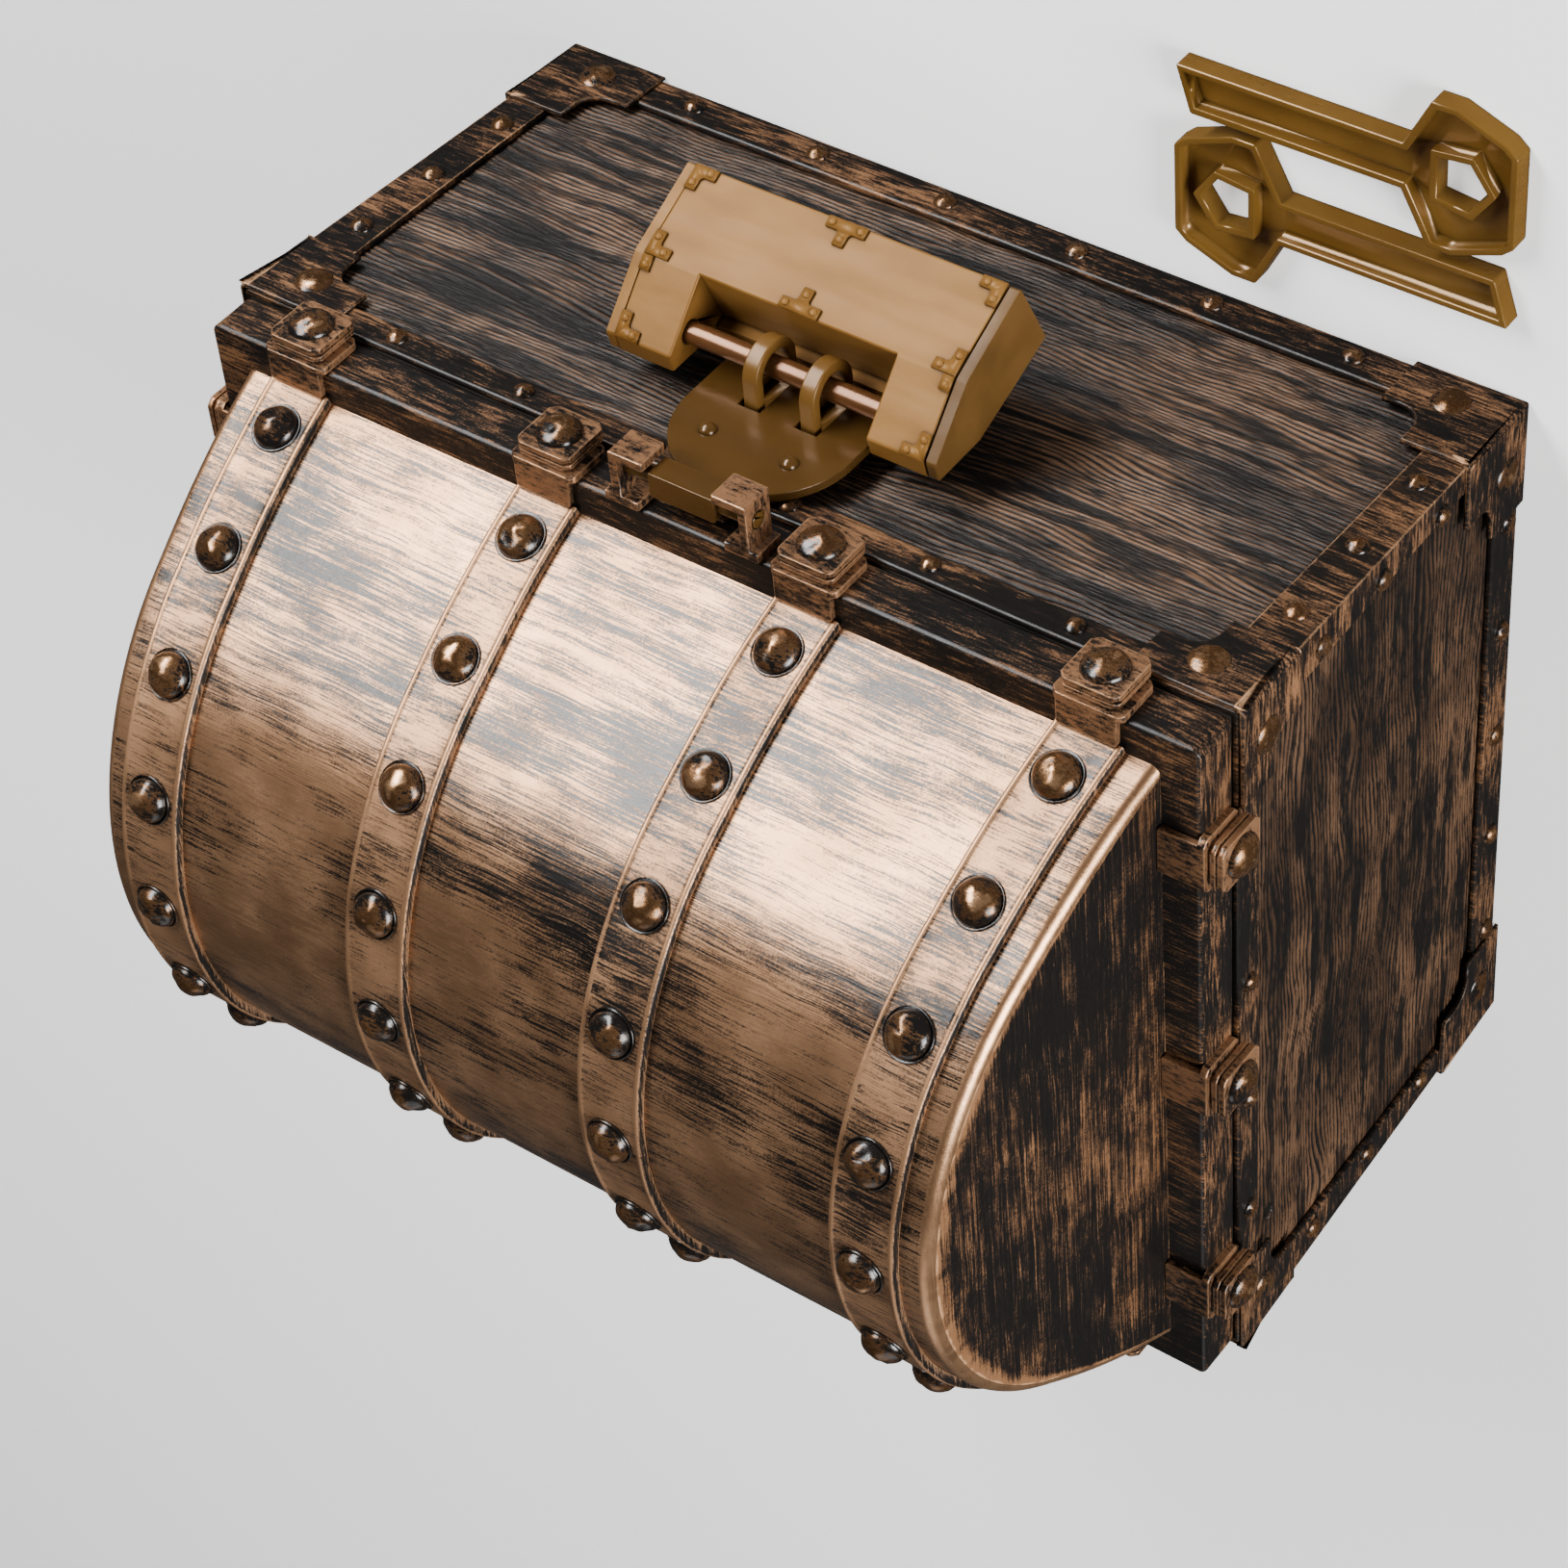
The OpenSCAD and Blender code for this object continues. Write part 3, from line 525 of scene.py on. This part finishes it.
def rivet_heads(node, look, body, slot, face, dent=0.03, collar=0.0):
    """Hammered heads over a CAD node's rivets; face gives a head's outward direction from its centre."""
    verts, faces, wear = [], [], []
    hammer = Noise(5)
    for n, corners in enumerate(islands(node)):
        out = Vector(face(corners.mean(0))).normalized()
        height = corners @ np.array(out)
        across = corners - corners.mean(0)
        across = across - np.outer(across @ np.array(out), np.array(out))
        radius = np.linalg.norm(across, axis=1).max()
        rise = height.max() - height.min()
        centre = Vector(corners.mean(0))
        centre += out * (height.max() - centre.dot(out))
        side = Matrix.Rotation(n * GOLDEN_TURN, 3, out) @ out.orthogonal().normalized()
        up = out.cross(side)
        start = len(verts)
        profile = head_profile(radius, rise, collar)
        verts.append(centre)
        wear.append(1.0)
        for i, (r, drop) in enumerate(profile):
            edge = math.sin(math.pi * min(1, r / radius)) if i < RINGS else 0
            for k in range(SPOKES):
                a = 2 * math.pi * k / SPOKES
                p = side * math.cos(a) * r + up * math.sin(a) * r
                bite = hammer.layered(HAMMER_PLACE + p.dot(side) / radius * HAMMER_SIZE + n * HAMMER_STEP,
                                      HAMMER_PLACE + p.dot(up) / radius * HAMMER_SIZE) - HAMMER_LEVEL
                verts.append(centre + p + out * (drop + min(0, bite) * dent * radius * 8 * edge))
                wear.append(0.75 * max(0, 1 + drop / rise) ** 1.2 + (bite + 0.10) * 1.6 * edge)
        faces += [(start, start + 1 + k, start + 1 + (k + 1) % SPOKES) for k in range(SPOKES)]
        for i in range(len(profile) - 1):
            a, b = start + 1 + i * SPOKES, start + 1 + (i + 1) * SPOKES
            faces += [(a + k, b + k, b + (k + 1) % SPOKES, a + (k + 1) % SPOKES) for k in range(SPOKES)]
        last = start + 1 + (len(profile) - 1) * SPOKES
        faces.append(tuple(last + k for k in reversed(range(SPOKES))))
    name = node[:-1] + "_heads"
    make_piece(name, mesh_of(name, verts, faces, wear=np.clip(wear, 0, 1)), look, body, slot, node)


# ---------------------------------------------------------------- box
def on_side(side, along, z, out):
    """A point on a side of the box: 0 front, 1 right, 2 back, 3 left; out is measured from its panel."""
    reach, lean = (HALF_D, SIDE_LEAN) if side % 2 == 0 else (HALF_L, END_LEAN)
    depth = reach - BAND_T - lean * (1 - z / SEAM_Z) + out
    return (Matrix.Rotation(side * math.pi / 2, 3, "Z") @ Vector((along, -depth, z)))[:]


# Each knot: place along a panel, height, strength
KNOTS = ((-0.042, 0.052, 0.9), (0.031, 0.024, 1.0), (0.064, 0.060, 0.7), (-0.008, 0.040, 0.8),
         (-0.075, 0.021, 0.8))
GRAIN_PITCH = 1.05 * MM
RELIEF = 0.40 * MM          # height of the grain
RELIEF_FADE = 1.6 * MM      # the grain dies out over this width along a panel's border
PANEL_BACK = 0.6 * MM       # how far a panel's back lies behind its grain
PANEL_LIFT = 0.06 * MM      # how far the lowest grain stands off the box shell
PANEL_TUCK = 0.5 * MM       # how far a panel reaches under the posts
BAND_TUCK = 0.4 * MM        # and under the bands
CELL_L, CELL_H = 1.15 * MM, 0.23 * MM      # a panel's cells along and up


def grain_height(side, along, z):
    """Moulded grain from 0 to 1: wavy ridges that flow round knots and break into dashes."""
    n = Noise(11 + side)
    warp = 2.6 * n.layered(30 + along / 0.046, 30 + z / 0.013) + 0.8 * n.at(9 + along / 0.012, 5 + z / 0.004)
    for x, height, size in KNOTS:
        dx, dz = (along - x * (1 if side < 2 else -1)) / 0.013, (z - height) / 0.0042
        warp = warp + 1.5 * size * np.exp(-np.sqrt(dx * dx + dz * dz + 0.02))
    line = 0.5 + 0.5 * np.sin(2 * math.pi * (z / GRAIN_PITCH + warp * 1.9))
    thin = 0.5 + 0.5 * np.sin(2 * math.pi * (z / GRAIN_PITCH * 2.3 + warp * 3.1))
    streak = n.layered(7 + along / 0.017, 3 + z / 0.0016 + warp * 1.4, 3)
    chip = n.layered(61 + along / 0.0021, 23 + z / 0.0007, 2)
    ridges = line * smoothstep(0.20, 0.62, streak) + 0.35 * thin * smoothstep(0.72, 0.35, streak)
    return np.clip(ridges * (0.55 + 0.45 * smoothstep(0.25, 0.55, chip)) + 0.10 * streak, 0, 1)


LEFT = 3                    # the side with the small round hole
HOLE_AT = (-52.5 * MM, 79 * MM)
HOLE_R = 1.8 * MM


def open_at(along, z):
    """Whether a panel's face lies wholly in the small round hole of the left end."""
    return bool(np.all(np.hypot(along - HOLE_AT[0], z - HOLE_AT[1]) < HOLE_R * 1.001))


def around_hole(along, z):
    """The panel's points with those inside the hole moved out to its edge."""
    dx, dz = along - HOLE_AT[0], z - HOLE_AT[1]
    grow = np.maximum(1, HOLE_R / np.maximum(np.hypot(dx, dz), 1e-9))
    return HOLE_AT[0] + dx * grow, HOLE_AT[1] + dz * grow


def wood_panels():
    """Four displaced panels that lie in the frames between bands and posts."""
    for side, name in enumerate(("front_panel", "right_panel", "back_panel", "left_panel")):
        half = (HALF_L if side % 2 == 0 else HALF_D) - POST_W + PANEL_TUCK
        z0, z1 = BOTTOM_BAND_H - BAND_TUCK, TOP_BAND_Z + BAND_TUCK
        columns, rows = int(2 * half / CELL_L), int((z1 - z0) / CELL_H)
        along, z = np.meshgrid(np.linspace(-half, half, columns), np.linspace(z0, z1, rows))
        ridge = grain_height(side, along, z)
        border = np.minimum(half - np.abs(along), np.minimum(z - z0, z1 - z))
        out = RELIEF * ridge * smoothstep(0, RELIEF_FADE, border) + PANEL_LIFT
        shown_along, shown_z = around_hole(along, z) if side == LEFT else (along, z)
        verts = [on_side(side, a, h, o) for a, h, o in zip(shown_along.flat, shown_z.flat, out.flat)]
        faces = [(r * columns + c, r * columns + c + 1, (r + 1) * columns + c + 1, (r + 1) * columns + c)
                 for r in range(rows - 1) for c in range(columns - 1)
                 if side != LEFT or not open_at(along[r:r + 2, c:c + 2], z[r:r + 2, c:c + 2])]
        inward = Matrix.Rotation(side * math.pi / 2, 3, "Z") @ Vector((0, PANEL_BACK, 0))
        panel = backed(mesh_of(name, verts, faces, ridge=ridge.ravel()), inward)
        make_piece(name, panel, "wood", "chest_base", "wood_panel")


def side_out(centre):
    """Outward direction of the box's side nearest to a point."""
    x, y = centre[0], centre[1]
    at_end = HALF_L - abs(x) < HALF_D + 1 * MM - abs(y)
    return (math.copysign(1, x), 0, 0) if at_end else (0, math.copysign(1, y), 0)


def build_box():
    wood_panels()
    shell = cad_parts["base_shell"].data
    shell.materials.clear()
    shell.materials.append(LOOKS["inside"])
    for node, radius, corner, plate in (
            ("bottom_band", 0.6, 1.4, 0), ("top_band", 0.6, 1.4, 0), ("corner_posts", 0.6, 2.0, 0),
            ("bottom_corner_guards", 0.4, 2.0, 0.6), ("top_corner_guards", 0.4, 2.0, 0.6),
            ("base_hinge_leaves", 0.25, 0, 0)):
        moulded(node, "trim", "chest_base", "bronze_trim", radius, segments=4, corner_radius=corner,
                plate=plate)
    moulded("hinge_pins", "wire", "chest_base", "hinge_steel", 0.3)
    for node in ("band_rivets", "guard_rivets"):
        rivet_heads(node, "rivet", "chest_base", "bronze_trim", side_out)


# ---------------------------------------------------------------- lid
def dome_point(angle, grow=0.0):
    """(y, z) on the dome at an angle from -90 at the front foot, over 0 at the top, to 90 at the back."""
    a = math.radians(90 - abs(angle))
    z = RIM_TOP + (DOME_H + grow) * math.sin(a)
    y = (DOME_W + grow) * math.cos(a) + FLARE * max(0, 1 - (z - RIM_TOP) / FLARE_H) ** 1.5
    return math.copysign(y, angle), z


def dome_normal(angle):
    y0, z0 = dome_point(angle - 0.2)
    y1, z1 = dome_point(angle + 0.2)
    return Vector((0, z0 - z1, y1 - y0)).normalized()


def dome_angles(count):
    """Angles that put the dome's points at even steps of length."""
    fine = np.linspace(-90, 90, 721)
    points = np.array([dome_point(a) for a in fine])
    length = np.concatenate([[0], np.cumsum(np.linalg.norm(np.diff(points, axis=0), axis=1))])
    return np.interp(np.linspace(0, length[-1], count), length, fine)


def end_x(z, inset=0.0):
    return DOME_END - inset - DOME_LEAN * (z - RIM_TOP)


EDGE_R = 2.0 * MM           # rounding of the dome's end edges
EDGE_STEPS = 6
DOME_AROUND, DOME_ALONG = 121, 57          # the dome's points over its arch, and from end to end
DOME_DENT = 0.3 * MM
DOME_SHARP = math.radians(38)


def closing_grid(verts, faces, ring, turn, steps=14):
    """Fills a dome end from its rounded edge down to the foot, in rows, and gives back the foot's row."""
    n, row = len(ring), list(ring)
    for i in range(1, steps + 1):
        below = []
        for k in ring:
            x, y, z = verts[k]
            z = RIM_TOP + (z - RIM_TOP) * (1 - i / steps)
            below.append(len(verts))
            verts.append((math.copysign(end_x(z), x), y, z))
        faces += [(row[k], row[k + 1], below[k + 1], below[k])[::turn] for k in range(n - 1)]
        row = below
    return row


def lid_shell():
    """The dome as one closed shell: rounded ends outside, plain inside, joined at the foot."""
    angles = dome_angles(DOME_AROUND)
    n = len(angles)
    stations = [(-1, i) for i in range(EDGE_STEPS, 0, -1)]
    stations += [(share, 0) for share in np.linspace(-1, 1, DOME_ALONG)]
    stations += [(1, i) for i in range(1, EDGE_STEPS + 1)]
    ripple = Noise(21)
    verts, wear, faces = [], [], []
    for share, step in stations:
        phi = math.pi / 2 * step / EDGE_STEPS
        for a in angles:
            y, z = dome_point(a)
            dent = (ripple.layered(40 + share * 3, 40 + a / 14) - 0.5) * DOME_DENT * (step == 0)
            p = Vector((0, y, z)) - dome_normal(a) * (EDGE_R * (1 - math.cos(phi)) - min(0, dent))
            p.z = max(p.z, RIM_TOP)
            p.x = share * (end_x(p.z) - EDGE_R) + math.copysign(EDGE_R * math.sin(phi), share) * (step > 0)
            verts.append(tuple(p))
            rub = math.sin(2 * min(phi, math.pi / 4)) if step else 0
            wear.append(rub * (0.35 + 1.1 * ripple.layered(10 + a / 1.3, 3 + step / 5)))
    for i in range(len(stations) - 1):
        faces += [(i * n + k, i * n + k + 1, (i + 1) * n + k + 1, (i + 1) * n + k) for k in range(n - 1)]
    skin = len(faces)
    last = (len(stations) - 1) * n
    foot_left = closing_grid(verts, faces, range(n), -1)
    foot_right = closing_grid(verts, faces, range(last, last + n), 1)
    ends = len(faces)
    left = len(verts)
    for share in (-1, 1):
        for a in angles:
            y, z = dome_point(a, -WALL)
            verts.append((share * end_x(z, WALL), y, z))
    right = left + n
    faces += [(left + k + 1, left + k, right + k, right + k + 1) for k in range(n - 1)]
    faces.append(tuple(left + k for k in range(n)))
    faces.append(tuple(right + k for k in reversed(range(n))))
    front = [i * n for i in range(len(stations))]
    back = [i * n + n - 1 for i in range(len(stations))]
    faces.append(tuple(reversed(front)) + (left, right))
    faces.append(tuple(back) + (right + n - 1, left + n - 1))
    faces.append(tuple(foot_left) + (left + n - 1, left))
    faces.append(tuple(reversed(foot_right)) + (right, right + n - 1))
    wear += [0] * (len(verts) - len(wear))
    mesh = face_out(mesh_of("lid_dome", verts, faces, wear=np.clip(wear, 0, 1)))
    mesh.set_sharp_from_angle(angle=DOME_SHARP)
    make_piece("lid_dome", mesh, "lid", "lid", "lid_skin", "lid_shell")
    mesh.materials.append(LOOKS["ends"])
    mesh.materials.append(LOOKS["inside"])
    for i, face in enumerate(mesh.polygons):
        face.material_index = 0 if i < skin else 1 if i < ends else 2


# Half of a strap's section: (share of half the width, height in strap thicknesses)
STRAP_EDGE = ((-1.0, 0.0), (-1.0, 0.72), (-0.985, 0.88), (-0.95, 0.97), (-0.91, 1.0), (-0.87, 0.98),
              (-0.83, 0.90), (-0.78, 0.87), (-0.4, 0.88))
STRAP_SECTION = (*STRAP_EDGE, (0.0, 0.90), *((-across, lift) for across, lift in reversed(STRAP_EDGE)))
STRAP_AROUND = 161          # points along a strap
STRAP_FILL = 0.97           # keeps the tops of the waves inside the strap's own thickness
STRAP_WAVE = 0.10 * MM
STRAP_RAGGED = 0.025        # how unevenly its edges run, as a share of its width
STRAP_SHARP = math.radians(50)


def strap(node):
    """A strap over the dome with raised, slightly wavy edges."""
    low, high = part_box(node)
    foot = (high.x if high.x > 0 else low.x) - math.copysign(STRAP_W / 2, high.x)
    angles = dome_angles(STRAP_AROUND)
    ripple = Noise(31)
    verts, faces, wear = [], [], []
    n = len(STRAP_SECTION)
    for a in angles:
        y, z = dome_point(a)
        normal = dome_normal(a)
        middle = foot * (1 - DOME_LEAN * (z - RIM_TOP) / DOME_END)
        for across, lift in STRAP_SECTION:
            wave = (ripple.at(5 + a / 9 + foot * 100, 9) - 0.5) * STRAP_WAVE
            edge = 1 + (ripple.at(50 + a / 11 + (across > 0) * 7, foot * 90) - 0.5) * STRAP_RAGGED
            rise = lift * STRAP_T * STRAP_FILL + wave * (lift > 0)
            p = Vector((middle + across * edge * STRAP_W / 2, y, z)) + normal * rise
            verts.append((p.x, p.y, max(p.z, RIM_TOP)))
            wear.append(0.5 * (lift > 0.95) - 0.5 * (0 < lift < 0.8))
    for i in range(len(angles) - 1):
        this, following = i * n, (i + 1) * n
        faces += [(following + k, following + (k + 1) % n, this + (k + 1) % n, this + k) for k in range(n)]
    faces.append(tuple(range(n)))
    faces.append(tuple(len(verts) - 1 - k for k in range(n)))
    mesh = face_out(mesh_of(node + "_shown", verts, faces, wear=wear))
    mesh.set_sharp_from_angle(angle=STRAP_SHARP)
    make_piece(node + "_shown", mesh, "strap", "lid", "bronze_trim", node)


def dome_out(centre):
    """Outward direction of the dome at a point near it."""
    angles = dome_angles(241)
    points = np.array([dome_point(a, STRAP_T) for a in angles])
    return dome_normal(angles[np.linalg.norm(points - np.array(centre[1:]), axis=1).argmin()])


def build_lid():
    lid_shell()
    for node in ("strap_right_outer", "strap_right_inner", "strap_left_inner", "strap_left_outer"):
        strap(node)
    moulded("lid_rim", "trim", "lid", "bronze_trim", 0.9, segments=4, corner_radius=2.2)
    for node in ("front_clips", "rear_clips", "right_end_clips", "left_end_clips", "hasp_brackets"):
        moulded(node, "clip", "lid", "bronze_trim", 0.35)
    moulded("lid_hinge_leaves", "trim", "lid", "bronze_trim", 0.25)
    rivet_heads("strap_rivets", "rivet", "lid", "bronze_trim", dome_out, dent=0.04, collar=0.5 * MM)
    rivet_heads("clip_rivets", "rivet", "lid", "bronze_trim", side_out)


# ---------------------------------------------------------------- gold pieces
LOCK_FRONT = Vector((0, -15.8, 7.8)).normalized()     # outward from the padlock's lower front face
LOCK_LEGS = Vector((0, -9.8, 10.6)).normalized()      # outward from its legs' front faces
RIDGE_Z = 64.2 * MM         # height of the ridge between the two
SOFT_TURN = 12              # the padlock's blunt edges are rounded too


def lock_out(centre):
    return LOCK_FRONT if centre[2] < RIDGE_Z else LOCK_LEGS


def build_gold():
    moulded("hasp_plate", "hasp", "hasp", "gold_plastic", 0.4)
    moulded("staple_loops", "loop", "hasp", "gold_plastic", 0.35)
    rivet_heads("hasp_rivets", "hasp", "hasp", "gold_plastic", lambda centre: (0, -1, 0), dent=0)
    moulded("padlock_case", "gold", "padlock", "gold_plastic", 0.45, turn=SOFT_TURN)
    moulded("padlock_back_cover", "gold", "padlock", "gold_plastic", 0.2)
    moulded("padlock_key_end", "gold", "padlock", "gold_plastic", 0.4, turn=SOFT_TURN)
    moulded("padlock_mounts", "gold", "padlock", "gold_plastic", 0.16)
    rivet_heads("padlock_studs", "gold", "padlock", "gold_plastic", lock_out, dent=0)
    moulded("bolt_end_cap", "cap", "bolt", "gold_plastic", 0.5, turn=SOFT_TURN)
    moulded("bolt_bar", "bolt", "bolt", "bolt_bronze", 0.4)
    moulded("bolt_spring_leaves", "gold", "bolt", "gold_plastic", 0.2)
    for node in ("key_1", "key_2"):
        moulded(node, "key", node, "key_plastic", 0.35)


# ---------------------------------------------------------------- stage
FLOOR_REACH = 4.0           # metres
FLOOR_GLOW = 0.6            # keeps the pale floor pale away from the lamps
ROOM_LIGHT = 0.06
LAMPS_AIM = Vector((0, 0, 0.08))
# Each lamp: name, direction from the chest, distance, width and height, power in watts
LAMPS = (("key_light", (0.47, -0.84, 0.30), 1.1, (0.36, 1.20), 33),
         ("left_fill", (-0.95, -0.10, 0.30), 1.4, (0.7, 0.7), 42),
         ("back_fill", (-0.2, 0.9, 0.6), 1.5, (0.8, 0.8), 2.5))
CAMERA_AT = (-0.355267, -0.540475, 0.498755)
CAMERA_RIGHT = Vector((-0.80543, 0.07308, -0.58816))
CAMERA_FORWARD = Vector((0.46081, 0.70131, -0.54389))
SENSOR, LENS = 36.0, 101.53


def add_floor():
    reach = FLOOR_REACH
    corners = [(-reach, -reach, 0), (reach, -reach, 0), (reach, reach, 0), (-reach, reach, 0)]
    floor = bpy.data.objects.new("floor", mesh_of("floor", corners, [(0, 1, 2, 3)]))
    g = Graph("pale_floor")
    g.set(Base_Color=(0.9, 0.9, 0.9, 1), Roughness=0.9)
    g.set(Emission_Color=(1, 1, 1, 1), Emission_Strength=FLOOR_GLOW)
    floor.data.materials.append(g.material)
    bpy.context.scene.collection.objects.link(floor)
    floor.visible_glossy = False        # the polished dome would mirror it as a grey haze


def add_lights():
    """A large soft lamp in front, two weaker fills and a faint even light."""
    world = bpy.data.worlds.new("studio")
    world.use_nodes = True
    background = world.node_tree.nodes["Background"]
    background.inputs[0].default_value = (1, 1, 1, 1)
    background.inputs[1].default_value = ROOM_LIGHT
    bpy.context.scene.world = world
    for name, toward, distance, size, power in LAMPS:
        lamp = bpy.data.lights.new(name, "AREA")
        lamp.shape = "RECTANGLE"
        lamp.size, lamp.size_y = size
        lamp.energy = power
        holder = bpy.data.objects.new(name, lamp)
        out = Vector(toward).normalized()
        turn = out.to_track_quat("Z", "Y").to_matrix().to_4x4()
        holder.matrix_world = Matrix.Translation(LAMPS_AIM + out * distance) @ turn
        bpy.context.scene.collection.objects.link(holder)


def add_camera():
    lens = bpy.data.cameras.new("camera")
    lens.sensor_width, lens.lens = SENSOR, LENS
    camera = bpy.data.objects.new("camera", lens)
    up = CAMERA_RIGHT.cross(CAMERA_FORWARD)
    turn = Matrix((CAMERA_RIGHT, up, -CAMERA_FORWARD)).transposed().to_4x4()
    camera.matrix_world = Matrix.Translation(CAMERA_AT) @ turn
    bpy.context.scene.collection.objects.link(camera)
    bpy.context.scene.camera = camera


add_floor()
add_lights()
add_camera()
build_box()
build_lid()
build_gold()
